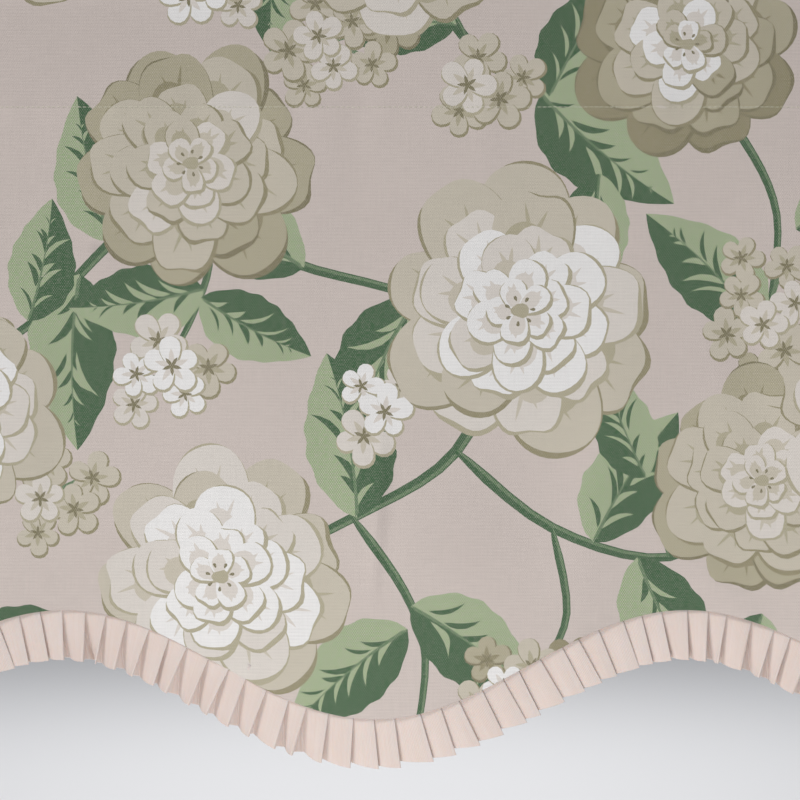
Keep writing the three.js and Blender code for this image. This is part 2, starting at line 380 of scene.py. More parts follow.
def spray(x, z, reach, tall, count, tone):
    """A loose spray of small blossoms on thin stalks round a point, the palest on top."""
    start = hand.uniform(0, 6)
    places = []
    for k in range(count):
        far = math.sqrt((k + 0.5) / count)
        angle = start + k * GOLDEN_ANGLE
        places.append((far, x + reach * far * math.cos(angle), z + tall * far * math.sin(angle)))
    shapes = []
    for _, at_x, at_z in places:
        length = math.hypot(at_x - x, at_z - z)
        angle = math.atan2(at_z - z, at_x - x)
        shapes.append((stroke(x, z, length, STALK_WIDTH, angle, STALK_BEND), "leaf_mid"))
    for far, at_x, at_z in sorted(places, reverse=True):
        level = min(3, int((1.2 - far) * 4))
        size = hand.uniform(15, 20)
        shapes += blossom(at_x, at_z, size, TONES[tone][level], hand.uniform(0, 6))
    return shapes


LEAF_SHARES = np.linspace(0, 1, 29)
VEIN_PLACES = [0.1, 0.24, 0.38, 0.52, 0.66, 0.8]
VEIN_LEAN = 0.62
VEIN_BEND = -0.13
RIB_SHARE = 0.022
TOOTH_DEPTH = 0.035
TOOTH_TURNS = 37


def leaf(x, z, length, width, degrees, curl, tone):
    """A plain ovate leaf on a curved midrib, one half light and one dark, with veins in the
    other tone."""
    angle = math.radians(degrees)
    half = np.sin(np.pi * LEAF_SHARES**0.8) ** 0.85
    half *= 1 + TOOTH_DEPTH * np.sin(TOOTH_TURNS * LEAF_SHARES)
    half[0] = half[-1] = 0
    along = LEAF_SHARES * length
    bend = curl * length * LEAF_SHARES**2
    rib_line = placed(along, bend, x, z, angle)
    light, dark = ("leaf_light", "leaf_dark") if tone > 0 else ("leaf_dark", "leaf_light")
    shapes = []
    for side, dye in ((1, light), (-1, dark)):
        rim = placed(along, bend + side * half * width / 2, x, z, angle)
        shapes.append((np.vstack([rim, rib_line[-2:0:-1]]), dye))
    for at in VEIN_PLACES:
        for side, dye in ((1, dark), (-1, light)):
            start = at + hand.uniform(-0.04, 0.04)
            room = width / 2 * math.sin(math.pi * (start + 0.12) ** 0.8)
            lean = side * (VEIN_LEAN + hand.uniform(-0.12, 0.12)) + math.atan(2 * curl * start)
            reach = room * hand.uniform(0.6, 1.2)
            off_rib = max(0.0, hand.uniform(-0.3, 0.25)) * room
            foot = around(start * length, curl * length * start**2, off_rib, lean)
            foot = placed(*np.array(foot)[:, None], x, z, angle)[0]
            thick = room * hand.uniform(0.1, 0.2)
            bow = VEIN_BEND * side * reach
            shapes.append((stroke(*foot, reach, thick, angle + lean, bow), dye))
    rib_half = RIB_SHARE * width * (1 - LEAF_SHARES)
    upper = placed(along, bend + rib_half, x, z, angle)
    lower = placed(along, bend - rib_half, x, z, angle)[-2:0:-1]
    shapes.append((np.vstack([upper, lower]), "leaf_mid"))
    return shapes


STEM_STEPS = 5
STEM_TAPER = 0.4


def stem(points, width):
    """A stem through a few points, thinning to its end, with a lighter side."""
    line = np.array([points[0], *points, points[-1]], float)
    stretches = len(points) - 1
    smooth = []
    for t in np.linspace(0, stretches, STEM_STEPS * stretches + 1):
        i = min(int(t), stretches - 1)
        f = t - i
        before, start, end, after = line[i : i + 4]
        squared = 2 * before - 5 * start + 4 * end - after
        cubed = 3 * start - before - 3 * end + after
        smooth.append(start + ((end - before) * f + squared * f**2 + cubed * f**3) / 2)
    smooth = np.array(smooth)
    along = np.gradient(smooth, axis=0)
    along /= np.linalg.norm(along, axis=1)[:, None]
    side = np.column_stack([-along[:, 1], along[:, 0]]) * width / 2
    share = np.linspace(0, 1, len(smooth))
    side *= (np.minimum(0.4 + 5 * share, 1) * (1 - STEM_TAPER * share))[:, None]
    body = np.vstack([smooth - side, (smooth + side)[::-1]])
    lit = np.vstack([smooth + 0.15 * side, (smooth + 0.75 * side)[::-1]])
    return [(body, "leaf_dark"), (lit, "leaf_mid")]


STEMS = [
    # points, width
    ([(95, -215), (55, -300), (-15, -345), (-100, -385)], 9),
    ([(55, -300), (120, -352), (200, -372), (262, -330)], 8),
    ([(-125, -105), (-70, -165), (10, -190), (95, -215)], 8),
    ([(-125, -105), (-190, -170), (-235, -215), (-290, -250)], 8),
    ([(20, 45), (60, -20), (120, -60), (205, -35)], 8),
    ([(-15, -345), (20, -395), (34, -440), (26, -505)], 7),
    ([(20, 45), (-60, 80), (-150, 95), (-230, 90)], 8),
    ([(205, -35), (250, -90), (272, -140), (268, -200)], 7),
    ([(120, -352), (130, -410), (112, -450), (95, -480)], 6),
    ([(-125, -105), (-112, -165), (-122, -205), (-140, -240)], 6),
    ([(20, 45), (42, 10), (58, -15), (70, -45)], 6),
    ([(205, -35), (165, -70), (150, -95), (152, -120)], 6),
    ([(200, -372), (190, -330), (178, -310), (160, -292)], 6),
]
LEAVES = [
    # x, z, length, width, angle in degrees, curl, tone
    (28, -196, 122, 62, -122, 0.16, 1),
    (-48, -176, 108, 58, 148, -0.14, -1),
    (112, -58, 116, 60, -48, 0.15, 1),
    (118, -60, 96, 50, 66, -0.12, -1),
    (-12, -345, 112, 60, 92, 0.15, 1),
    (24, -405, 108, 56, -28, -0.16, 1),
    (22, -420, 104, 54, 212, 0.15, -1),
    (178, -372, 112, 58, -70, 0.14, -1),
    (148, -362, 104, 54, 66, -0.16, 1),
    (-200, -180, 118, 60, -100, 0.16, -1),
    (-178, -158, 100, 52, 112, -0.15, 1),
    (-58, 78, 108, 54, -104, 0.13, 1),
    (-40, 70, 96, 50, 82, 0.14, -1),
    (-160, 95, 100, 52, 84, -0.12, 1),
    (262, -215, 108, 56, 128, 0.14, -1),
    (285, -150, 92, 48, 34, -0.12, 1),
    (-205, -420, 108, 56, 196, 0.12, 1),
    (-200, -440, 96, 50, 262, -0.12, -1),
    (262, -410, 104, 54, 256, 0.12, 1),
    (-116, -190, 92, 50, 196, -0.14, 1),
    (-118, -196, 84, 46, -36, 0.14, -1),
    (55, -12, 88, 46, 172, 0.14, -1),
    (152, -112, 80, 44, -96, 0.12, 1),
    (184, -318, 78, 42, 118, -0.12, -1),
    (-235, -212, 84, 46, 72, 0.12, 1),
]
SPRAYS = [
    # x, z, reach, tall, count, tone
    (268, -205, 42, 46, 9, "cream"),
    (-2, -270, 26, 26, 4, "white"),
    (-30, -25, 44, 34, 8, "cream"),
    (98, -462, 48, 30, 8, "mixed"),
    (-218, -330, 30, 34, 5, "cream"),
    (120, 100, 46, 36, 8, "white"),
    (-110, 10, 26, 24, 4, "white"),
    (-145, -248, 34, 30, 6, "white"),
    (72, -52, 30, 26, 5, "cream"),
]
BLOOMS = [
    # x, z, radius, tone, turn
    (-290, -268, 80, "white", 0.3),
    (262, -320, 78, "cream", 0.2),
    (-125, -105, 86, "cream", 0.5),
    (-105, -385, 92, "white", 1.1),
    (98, -205, 98, "white", 0.1),
    (210, -25, 78, "mixed", 0.9),
    (20, 62, 80, "white", 0.4),
    (-230, 70, 76, "cream", 1.4),
    (-180, -530, 72, "mixed", 0.4),
]

print_outlines = []
for motif, places in ((stem, STEMS), (leaf, LEAVES), (spray, SPRAYS), (bloom, BLOOMS)):
    for place in places:
        print_outlines += motif(*place)

# The flat cut's outline, counterclockwise. Its corners are mitred, so that no two turned edges lie
# on each other.
ALLOWANCE = TURN_LENGTH + HEM_ALLOWANCE
TUCK = TURN_LENGTH + FLAP_TUCK
TOP_V = STITCH_Z + FLAP_END
EDGE_STEP = 6.0


def even_steps(start, end, step):
    return np.linspace(start, end, max(2, int(round(abs(end - start) / step)) + 1))


def level(along, v):
    """A straight row of points across the cut."""
    return np.column_stack([along, np.full_like(along, v)])


def upright(rising, u):
    """A straight row of points up the cut."""
    return np.column_stack([np.full_like(rising, u), rising])


def cut_outline():
    half = WIDTH / 2
    corner = hem_height(half)
    along = even_steps(-half + ALLOWANCE, half - ALLOWANCE, EDGE_STEP)
    bottom = np.column_stack([along, hem_height(along) - ALLOWANCE])
    rising = even_steps(corner + ALLOWANCE, TOP_V - ALLOWANCE, EDGE_STEP)
    right = np.vstack([[half, corner], upright(rising, half + ALLOWANCE), [half, TOP_V]])
    top = level(even_steps(half - TUCK, -half + TUCK, EDGE_STEP), TOP_V + TUCK)
    left = right[::-1] * (-1, 1)
    return np.vstack([bottom, right, top, left])


# Rows of triangles beside the stitch line, in millimetres, and beside each crease that is narrow
# enough to need them, as shares of its half width
SEAM_ROWS = [-8.0, -4.0, -1.8, 0.0, 1.8, 4.0, 8.0]
SHARP_CREASE = 8.0
CREASE_ROWS = [-1.6, -0.8, 0, 0.8, 1.6]


def fold_rows(row_step, turn_steps, arc_step):
    """Lines across the cut that the triangles follow where the cloth turns or is stitched."""
    half = WIDTH / 2
    rows = []
    for past in np.linspace(0, TURN_LENGTH, turn_steps + 1):
        along = even_steps(-half + past, half - past, row_step)
        rows.append(np.column_stack([along, hem_height(along) - past]))
        rows.append(level(along, TOP_V + past))
        rising = even_steps(hem_height(half) + past, TOP_V - past, row_step)
        rows += [upright(rising, side * (half + past)) for side in (-1, 1)]
    along = even_steps(-half, half, row_step)
    heights = [STITCH_Z + rise for rise in SEAM_ROWS]
    heights += list(STITCH_Z + even_steps(FRONT_END, ARC_END, arc_step))
    heights.append(STITCH_Z + BACK_END)
    rows += [level(along, v) for v in heights]
    for x, z, half_length, slant, half_width, _ in CREASES:
        if half_width > SHARP_CREASE:
            continue
        down = even_steps(-half_length, half_length, row_step)
        for share in CREASE_ROWS:
            rows.append(placed(share * half_width, down, x, z, -math.radians(slant)))
    return rows


MERGE = 0.02


def triangulated(points, edges):
    """Blender's constrained triangulation: its points, its triangles, and where each of its
    points came from."""
    found = delaunay_2d_cdt([Vector(p) for p in points], edges, [], 0, MERGE, True)
    return np.array([tuple(p) for p in found[0]]), np.array(found[2]), found[3]


def ring_edges(first, count):
    return [(first + k, first + (k + 1) % count) for k in range(count)]


def lies_inside(points, outline):
    """Which points lie inside a closed outline."""
    starts, ends = outline, np.roll(outline, -1, axis=0)
    x, z = points[:, :1], points[:, 1:]
    crosses = (starts[:, 1] > z) != (ends[:, 1] > z)
    rise = np.where(ends[:, 1] == starts[:, 1], 1, ends[:, 1] - starts[:, 1])
    meets = starts[:, 0] + (z - starts[:, 1]) * (ends[:, 0] - starts[:, 0]) / rise
    return (crosses & (x < meets)).sum(axis=1) % 2 == 1


TESTED_AT_ONCE = 5000


def kept_inside(points, triangles, outline):
    """The triangles inside the cut. Only those near its edges need the test."""
    middles = points[triangles].mean(axis=1)
    kept = (np.abs(middles[:, 0]) < WIDTH / 2) & (middles[:, 1] > HEM_MIDDLE_Z + SCALLOP_DEPTH / 2)
    kept &= middles[:, 1] < TOP_V
    unsure = np.flatnonzero(~kept)
    for part in np.array_split(unsure, 1 + len(unsure) // TESTED_AT_ONCE):
        kept[part] = lies_inside(middles[part], outline)
    return triangles[kept]


def printed_areas():
    """The cut split along every outline of the print, with the topmost dye of each triangle."""
    cut = cut_outline()
    points, edges = list(cut), ring_edges(0, len(cut))
    shown = []
    reach = WIDTH / 2 + ALLOWANCE
    for shift in (-REPEAT, 0, REPEAT):
        for outline, dye in print_outlines:
            moved = outline + (shift, 0)
            if moved[:, 0].max() < -reach or moved[:, 0].min() > reach:
                continue
            edges += ring_edges(len(points), len(moved))
            points += list(moved)
            shown.append((moved, DYE_NAMES.index(dye)))
    flat, triangles, _ = triangulated(points, edges)
    triangles = kept_inside(flat, triangles, cut)
    middles = flat[triangles].mean(axis=1)
    order = np.argsort(middles[:, 0])
    sorted_x = middles[order, 0]
    dyes = np.full(len(triangles), GROUND)
    for outline, dye in shown:
        low, high = outline.min(axis=0), outline.max(axis=0)
        first, last = np.searchsorted(sorted_x, (low[0], high[0]))
        near = order[first:last]
        near = near[(middles[near, 1] > low[1]) & (middles[near, 1] < high[1])]
        dyes[near[lies_inside(middles[near], outline)]] = dye
    return flat, triangles, dyes


def border_edges(triangles, dyes):
    """The edges where the dye changes, and those on the outside of the cut."""
    sides = triangles[:, [0, 1, 1, 2, 2, 0]].reshape(-1, 2)
    owners = np.repeat(np.arange(len(triangles)), 3)
    order = np.lexsort((sides.max(axis=1), sides.min(axis=1)))
    sides, owners = sides[order], owners[order]
    twins = np.append((np.sort(sides[1:]) == np.sort(sides[:-1])).all(axis=1), False)
    differ = twins & (dyes[owners] != dyes[np.roll(owners, -1)])
    alone = ~twins & ~np.roll(twins, 1)
    return sides[differ].tolist(), dict(sides[alone].tolist())


LONGEST_BORDER = 7.0
STRAIGHTNESS = 0.13


def thinned(points, edges):
    """The borders without the points that lie on an almost straight stretch."""
    beside = {}
    for p, q in edges:
        beside.setdefault(p, set()).add(q)
        beside.setdefault(q, set()).add(p)
    for p in list(beside):
        if len(beside[p]) != 2:
            continue
        a, b = beside[p]
        stretch = points[b] - points[a]
        length = math.hypot(*stretch)
        offset = points[p] - points[a]
        away = abs(stretch[0] * offset[1] - stretch[1] * offset[0]) / max(length, MERGE)
        if b in beside[a] or length > LONGEST_BORDER or away > STRAIGHTNESS:
            continue
        beside[a] = (beside[a] - {p}) | {b}
        beside[b] = (beside[b] - {p}) | {a}
        del beside[p]
    return [(p, q) for p, near in beside.items() for q in near if p < q]


def walked(following):
    """The outside edges as one ring of points."""
    ring = [min(following)]
    while following[ring[-1]] != ring[0]:
        ring.append(following[ring[-1]])
    return ring


def grid_points(step, rows, clear):
    """Staggered points over the cut, clear of its outline and of the rows."""
    half = WIDTH / 2
    heights = np.arange(HEM_MIDDLE_Z - SCALLOP_DEPTH, TOP_V, step * math.sqrt(3) / 2)
    points = []
    fixed_heights = np.array([row[0, 1] for row in rows if np.ptp(row[:, 1]) < MERGE])
    for k, v in enumerate(heights):
        if np.abs(fixed_heights - v).min() < clear:
            continue
        for u in np.arange(-half + step / 2 + (k % 2) * step / 2, half - clear, step):
            if v > hem_height(u) + clear:
                points.append((u, v))
    return points


def remeshed(outline, borders, rows, step, clear):
    """The cut as triangles that follow its outline, the given borders and rows, and a grid."""
    points, edges = list(outline), ring_edges(0, len(outline))
    for start, end in borders:
        edges.append((len(points), len(points) + 1))
        points += [start, end]
    for row in rows:
        edges += [(len(points) + k, len(points) + k + 1) for k in range(len(row) - 1)]
        points += list(row)
    points += grid_points(step, rows, clear)
    flat, triangles, origins = triangulated(points, edges)
    return flat, kept_inside(flat, triangles, outline), origins


FACE_GRID = 8.5
FACE_CLEAR = 2.5
BACK_GRID = 11.0
BACK_CLEAR = 3.5
ROW_STEP = 6.0

area_points, area_triangles, area_dyes = printed_areas()
dye_borders, area_outside = border_edges(area_triangles, area_dyes)
border_lines = [(area_points[p], area_points[q]) for p, q in thinned(area_points, dye_borders)]
area_ring = area_points[walked(area_outside)]
face_rows = fold_rows(ROW_STEP, turn_steps=4, arc_step=4.0)
face_points, face_triangles, _ = remeshed(area_ring, border_lines, face_rows, FACE_GRID, FACE_CLEAR)

area_tree = BVHTree.FromPolygons([(u, v, 0) for u, v in area_points], area_triangles.tolist())


def dye_at(u, v):
    return area_dyes[area_tree.find_nearest(Vector((u, v, 0)))[2]]


middles = face_points[face_triangles].mean(axis=1)
face_dyes = np.array([dye_at(u, v) for u, v in middles])
_, face_outside = border_edges(face_triangles, face_dyes)
face_ring = walked(face_outside)

back_rows = fold_rows(1.5 * ROW_STEP, turn_steps=2, arc_step=5.0)
back_points, back_triangles, back_origins = remeshed(
    face_points[face_ring], [], back_rows, BACK_GRID, BACK_CLEAR
)
back_ring = {origin: k for k, origins in enumerate(back_origins) for origin in origins}


def new_piece(name, vertices, faces):
    """A piece of its own from points in millimetres."""
    mesh = bpy.data.meshes.new(name)
    mesh.from_pydata([tuple(p) for p in vertices * MM], [], faces)
    mesh.shade_smooth()
    piece = bpy.data.objects.new(name, mesh)
    bpy.context.scene.collection.objects.link(piece)
    return piece


def map_flat(piece, name, places):
    """A UV map of each point's place on the flat sheet, in metres. It gives back the point that
    each corner of a face has."""
    corners = np.zeros(len(piece.data.loops), int)
    piece.data.loops.foreach_get("vertex_index", corners)
    flat = piece.data.uv_layers.new(name=name)
    flat.data.foreach_set("uv", (places[corners] * MM).astype(np.float32).ravel())
    return corners


face_3d = hung(face_points[:, 0], face_points[:, 1])
back_face = hung(back_points[:, 0], back_points[:, 1])
back_3d = back_face - CLOTH_THICKNESS * outward(back_points[:, 0], back_points[:, 1])
first_back = len(face_3d)
cloth_faces = face_triangles.tolist()
cloth_faces += (back_triangles[:, ::-1] + first_back).tolist()
for k, n in ring_edges(0, len(face_ring)):
    far = back_ring[k] + first_back, back_ring[n] + first_back
    cloth_faces.append((face_ring[n], face_ring[k], *far))
cloth = new_piece("printed_valance_cloth", np.vstack([face_3d, back_3d]), cloth_faces)

# How much of the print shows through on the cloth's back
SHOW_THROUGH = 0.16
BACK_COLOUR = linear(204, 196, 188)
SOFT_SPREAD = 5.0
SOFT_SAMPLES = 6
# Each dye's colour and how strongly it is speckled, as one row
dye_looks = np.array([(*colour, speckle) for _, colour, speckle in DYES])


def seen_through(u, v):
    """The print as it shows on the back: blurred by the cloth, faint and without speckles."""
    total = np.zeros(3)
    for k in range(SOFT_SAMPLES):
        angle = 2 * math.pi * k / SOFT_SAMPLES
        total += dye_looks[dye_at(*around(u, v, SOFT_SPREAD, angle)), :3]
    shown = BACK_COLOUR + SHOW_THROUGH * (total / SOFT_SAMPLES - dye_looks[GROUND, :3])
    return (*shown, 0.0)


back_looks = np.array([seen_through(u, v) for u, v in back_points])
corner_points = map_flat(cloth, "flat_cut", np.vstack([face_points, back_points]))
from_back = np.maximum(corner_points[3 * len(face_triangles) :] - first_back, 0)
corner_looks = np.vstack([np.repeat(dye_looks[face_dyes], 3, axis=0), back_looks[from_back]])
dye_layer = cloth.data.color_attributes.new("dye", "FLOAT_COLOR", "CORNER")
dye_layer.data.foreach_set("color", corner_looks.astype(np.float32).ravel())


class Nodes:
    """Short ways to add and join shader nodes of one material."""

    def __init__(self, name):
        self.material = bpy.data.materials.new(name)
        self.material.use_nodes = True
        self.tree = self.material.node_tree
        self.shader = self.tree.nodes["Principled BSDF"]

    def fill(self, node, inputs):
        """Gives a node's inputs their values, or joins other nodes' outputs to them."""
        for key, value in inputs.items():
            if isinstance(value, bpy.types.NodeSocket):
                self.tree.links.new(value, node.inputs[key])
            else:
                node.inputs[key].default_value = value

    def finish(self, inputs):
        self.fill(self.shader, inputs)

    def add(self, kind, inputs=None, **settings):
        node = self.tree.nodes.new(kind)
        for key, value in settings.items():
            setattr(node, key, value)
        self.fill(node, inputs or {})
        return node

    def noise(self, source, scale, size, detail=2.0, rough=0.5):
        """Noise from 0 to 1 over coordinates stretched by three factors."""
        stretched = self.add("ShaderNodeMapping", {"Vector": source, "Scale": scale}).outputs[0]
        inputs = {"Vector": stretched, "Scale": size, "Detail": detail, "Roughness": rough}
        return self.add("ShaderNodeTexNoise", inputs).outputs["Fac"]

    def bands(self, source, axis, size):
        """Even bands from 0 to 1, as the yarns of a weave lie side by side."""
        inputs = {"Vector": source, "Scale": size}
        node = self.add("ShaderNodeTexWave", inputs, wave_type="BANDS", bands_direction=axis)
        return node.outputs["Fac"]

    def maths(self, operation, a, b):
        return self.add("ShaderNodeMath", {0: a, 1: b}, operation=operation).outputs[0]

    def ranged(self, source, low, high, to_low, to_high):
        limits = {"From Min": low, "From Max": high, "To Min": to_low, "To Max": to_high}
        return self.add("ShaderNodeMapRange", {"Value": source, **limits}).outputs["Result"]

    def mixed(self, share, a, b):
        """Two colours mixed."""
        return self.add("ShaderNodeMix", {0: share, 6: a, 7: b}, data_type="RGBA").outputs[2]

    def bump(self, height, strength, distance):
        inputs = {"Height": height, "Strength": strength, "Distance": distance}
        self.finish({"Normal": self.add("ShaderNodeBump", inputs).outputs["Normal"]})


def solid(red, green, blue):
    """An opaque colour for a shader, from the values 0 to 255 that a screen shows."""
    return (*linear(red, green, blue), 1.0)


# The weave: a fine warp and a thicker weft, both uneven, with slubs along them. The ink lies thin
# on the weft's crowns, where the ground shows. Between the yarns the colour has painted shade.
WARP_PITCH = 0.77 * MM
WEFT_PITCH = 1.13 * MM
BANDS_PER_UNIT = 2 * math.pi / 20
CROWN_BARE = 0.8
GAP_PAINTED_SHADE = 0.3
weave = Nodes("printed_cotton_linen")
flat_cut = weave.add("ShaderNodeUVMap", uv_map="flat_cut").outputs["UV"]
dye_layer_node = weave.add("ShaderNodeVertexColor", layer_name="dye")
dye = dye_layer_node.outputs["Color"]
speckle = dye_layer_node.outputs["Alpha"]
warp_bands = weave.bands(flat_cut, "X", BANDS_PER_UNIT / (2 * WARP_PITCH))
weft_bands = weave.bands(flat_cut, "Y", BANDS_PER_UNIT / (2 * WEFT_PITCH))
warp = weave.maths("SUBTRACT", warp_bands, 0.5)
weft = weave.maths("SUBTRACT", weft_bands, 0.5)
weft_up = weave.ranged(weave.maths("MULTIPLY", warp, weft), -0.1, 0.15, 0, 1)
slubs = weave.noise(flat_cut, (0.06, 1, 1), 1100, detail=3, rough=0.6)
warp_slubs = weave.noise(flat_cut, (1, 0.05, 1), 1000, detail=3, rough=0.6)
wear = weave.noise(flat_cut, (0.35, 1, 1), 900, detail=2, rough=0.7)
clouds = weave.noise(flat_cut, (1, 1, 1), 9, detail=3)
weft_uneven = weave.ranged(slubs, 0.3, 0.7, -0.5, 0.5)
uneven = weave.maths("ADD", weft_uneven, weave.ranged(warp_slubs, 0.3, 0.7, -0.3, 0.3))
cloudy = weave.ranged(clouds, 0.3, 0.7, 0.975, 1.025)
# Brightness of the cloth: random tone from slubs and clouds, then a faint painted light and shade
# across each weft yarn
light = weave.maths("ADD", weave.maths("MULTIPLY", uneven, 0.07), cloudy)
light = weave.maths("ADD", light, weave.ranged(weft, -0.5, 0.5, -0.02, 0.02))
worn = weave.maths("MULTIPLY", speckle, weave.ranged(wear, 0.35, 0.68, 0.1, 1.2))
bare = weave.maths("MULTIPLY", weave.maths("MULTIPLY", weft_up, worn), CROWN_BARE)
# Painted shade between the yarns, where the weft is not on top, as strong as the dye's speckling
painted_gap_shade = weave.maths("MULTIPLY", weave.maths("SUBTRACT", 1.0, weft_up), speckle)
light = weave.maths("SUBTRACT", light, weave.maths("MULTIPLY", painted_gap_shade, GAP_PAINTED_SHADE))
inked = weave.mixed(bare, dye, (*dye_looks[GROUND, :3], 1.0))
lit = weave.add("ShaderNodeVectorMath", {0: inked, "Scale": light}, operation="SCALE")
weave.finish({
    "Base Color": lit.outputs[0],
    "Roughness": 0.88,
    "Specular IOR Level": 0.25,
    "Sheen Weight": 0.12,
    "Sheen Roughness": 0.5,
})
weave.bump(weave.maths("ADD", weft_up, weave.maths("MULTIPLY", uneven, 0.9)), 0.5, 0.16 * MM)
cloth.data.materials.append(weave.material)

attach(cloth, "root")
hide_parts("cloth")

# Pleated ribbon: one length of ribbed ribbon with woven edges, pressed into ninety knife pleats
# that all lie the same way, and sewn by its top edge to the back of the hem.
RIBBON_THICKNESS = 0.42
RIBBON_Y = 1.25
RIBBON_DROP = 34.5
RIBBON_ABOVE = 9.6
PLEATS_PER_SCALLOP = 30
PLEATS = SCALLOPS * PLEATS_PER_SCALLOP
UNDERLAY = 6.0
OPEN_UNDERLAY = -8.5
SEWN_DEPTH = 1.3
STACK_DEPTH = 2.6
SHUT_GAIN = 1.4
OPEN_GAIN = 7.5
AHEAD_SHARE = 0.6
SWING_SHARE = 0.92
SHUT_LEAN = 0.05
FREE_FROM = 1.0
HEM_SAMPLES = 4001


def pleat_edges():
    """The hem line's x at equal steps of its own length, one for each pleat's edge."""
    x = np.linspace(-WIDTH / 2, WIDTH / 2, HEM_SAMPLES)
    middle = (x[1:] + x[:-1]) / 2
    travelled = np.concatenate([[0], np.cumsum(np.diff(x) * np.hypot(1, hem_slope(middle)))])
    return np.interp(np.linspace(0, travelled[-1], PLEATS + 1), travelled, x)


EDGES = pleat_edges()
PLEAT_PITCH = math.hypot(EDGES[1] - EDGES[0], hem_height(EDGES[1]) - hem_height(EDGES[0]))
NUMBERS = np.arange(PLEATS + 1)


def smooth_step(value, low, high):
    share = np.clip((value - low) / (high - low), 0, 1)
    return share * share * (3 - 2 * share)


# How loosely each pleat hangs, from 0 to 1: open where the hem falls, and shut where it rises
LOOSENESS = smooth_step(-np.sin(WAVE * EDGES + 0.35), -0.35, 0.55)
LOOSENESS *= 0.78 + 0.22 * np.sin(2.3 * NUMBERS) + 0.14 * np.sin(5.1 * NUMBERS + 1)
LOOSENESS = np.clip(LOOSENESS, 0, 1)
EDGES[1:-1] += (1.0 * np.sin(1.9 * NUMBERS) + 0.7 * np.sin(4.3 * NUMBERS + 2))[1:-1]
SLOPES = np.arctan(hem_slope(EDGES))
SWAY = 0.03 * np.sin(3.1 * NUMBERS) + 0.02 * np.sin(1.3 * NUMBERS)
# How much higher than each pleat's front corner its back fold ends, so that the lower edge steps
LIFTS = 1.3 + 1.1 * (1 + np.cos(WAVE * EDGES)) + 2.5 * np.sin(WAVE * EDGES).clip(-0.2)
LIFTS *= (1 + 0.25 * np.sin(2.9 * NUMBERS)) * (1 + 0.25 * LOOSENESS)
BENDS = -(SCALLOP_DEPTH / 2) * WAVE**2 * np.cos(WAVE * EDGES) / (1 + hem_slope(EDGES) ** 2) ** 1.5


def in_plane(x, z):
    return np.column_stack([x, np.zeros_like(x), z])


def fold_lines(below):
    """Each pleat's front and back fold at one height below the hem."""
    hang = SWING_SHARE * SLOPES + SHUT_LEAN * (1 - LOOSENESS) + SWAY
    freed = max(0.0, (below - FREE_FROM) / (RIBBON_DROP - FREE_FROM))
    opened = freed**1.1
    seam = in_plane(EDGES, hem_height(EDGES))
    down = in_plane(np.sin(hang), -np.cos(hang))
    across = in_plane(np.cos(SLOPES), np.sin(SLOPES))
    shut = UNDERLAY + BENDS * SWING_SHARE * below * PLEAT_PITCH / 2
    loose = LOOSENESS * opened
    tucked = shut + (OPEN_UNDERLAY - shut) * loose
    resting = SEWN_DEPTH + (STACK_DEPTH - SEWN_DEPTH) * min(1.0, freed * 4)
    gain = opened * (SHUT_GAIN + OPEN_GAIN * LOOSENESS)
    front = seam + down * below
    back = seam + down * (below - LIFTS * freed**2)[:, None] - across * tucked[:, None]
    start = FACE_Y + RIBBON_Y
    front[:, 1] = start + fold_depth(front[:, 0], front[:, 2]) - AHEAD_SHARE * gain
    back[:, 1] = start + fold_depth(back[:, 0], back[:, 2]) + resting + (1 - AHEAD_SHARE) * gain
    return front, back


ROUNDING = 1.5
FOLD_SHARES = [0.0, 0.22, 0.5, 0.78, 1.0]
FACE_SHARES = [0.2, 0.4, 0.6, 0.8]
UNDER_SHARES = [0.25, 0.5, 0.75]
FACE_BULGE = 1.3
FACE_SAG = 0.9
# How far a loose pleat's hidden layer swings back behind its front fold before it opens
UNDER_TUCK = 2.6
UNDER_RISE = 1.2


def ribbon_row(below):
    """The ribbon's middle line at one height: rounded folds, and faces that bow a little."""
    front, back = fold_lines(below)
    corners = np.stack([front, back], axis=1).reshape(-1, 3)[1:-1]
    corners[0, ::2] = front[0, ::2]
    freed = np.clip(below / RIBBON_DROP, 0, 1)
    line = [corners[0]]
    for k in range(1, len(corners)):
        before, at = corners[k - 1], corners[k]
        length = np.linalg.norm(at - before)
        away = (at - before) / length
        trim = min(ROUNDING, 0.3 * length)
        leave = before + away * (trim if k > 1 else 0)
        arrive = at - away * (trim if k < len(corners) - 1 else 0)
        is_face = k % 2 == 1
        loose = LOOSENESS[k // 2]
        for share in FACE_SHARES if is_face else UNDER_SHARES:
            point = leave + (arrive - leave) * share
            bow = freed * math.sin(math.pi * share)
            if is_face:
                sag = FACE_SAG * freed * (0.4 + 0.6 * loose)
                line.append(point - bow * np.array([0, FACE_BULGE, sag]))
            else:
                line.append(point + bow * loose * np.array([-UNDER_TUCK, 0, UNDER_RISE * freed]))
        if k < len(corners) - 1:
            onward = corners[k + 1] - at
            next_length = np.linalg.norm(onward)
            depart = at + onward / next_length * min(ROUNDING, 0.3 * next_length)
            for share in FOLD_SHARES:
                a, b, c = (1 - share) ** 2, 2 * share * (1 - share), share**2
                line.append(a * arrive + b * at + c * depart)
    line.append(corners[-1])
    return np.array(line)


ROW_HEIGHTS = [-RIBBON_ABOVE, -7, -4, -1.5, 0.3, 2, 4.5, 7.5, 11, 15, 19, 23, 27, 30, 32.5, 34]
ROW_HEIGHTS.append(RIBBON_DROP)
SEAM_ROW = 4
rows = np.array([ribbon_row(below) for below in ROW_HEIGHTS])
along = np.gradient(rows, axis=1)
downward = np.gradient(rows, axis=0)
normals = np.cross(downward, along)
normals /= np.linalg.norm(normals, axis=2)[:, :, None]
steps = np.linalg.norm(np.diff(rows[SEAM_ROW], axis=0), axis=1)
ribbon_run = np.concatenate([[0], np.cumsum(steps)])
row_count, column_count = rows.shape[:2]
front_side = (rows + normals * RIBBON_THICKNESS / 2).reshape(-1, 3)
back_side = (rows - normals * RIBBON_THICKNESS / 2).reshape(-1, 3)


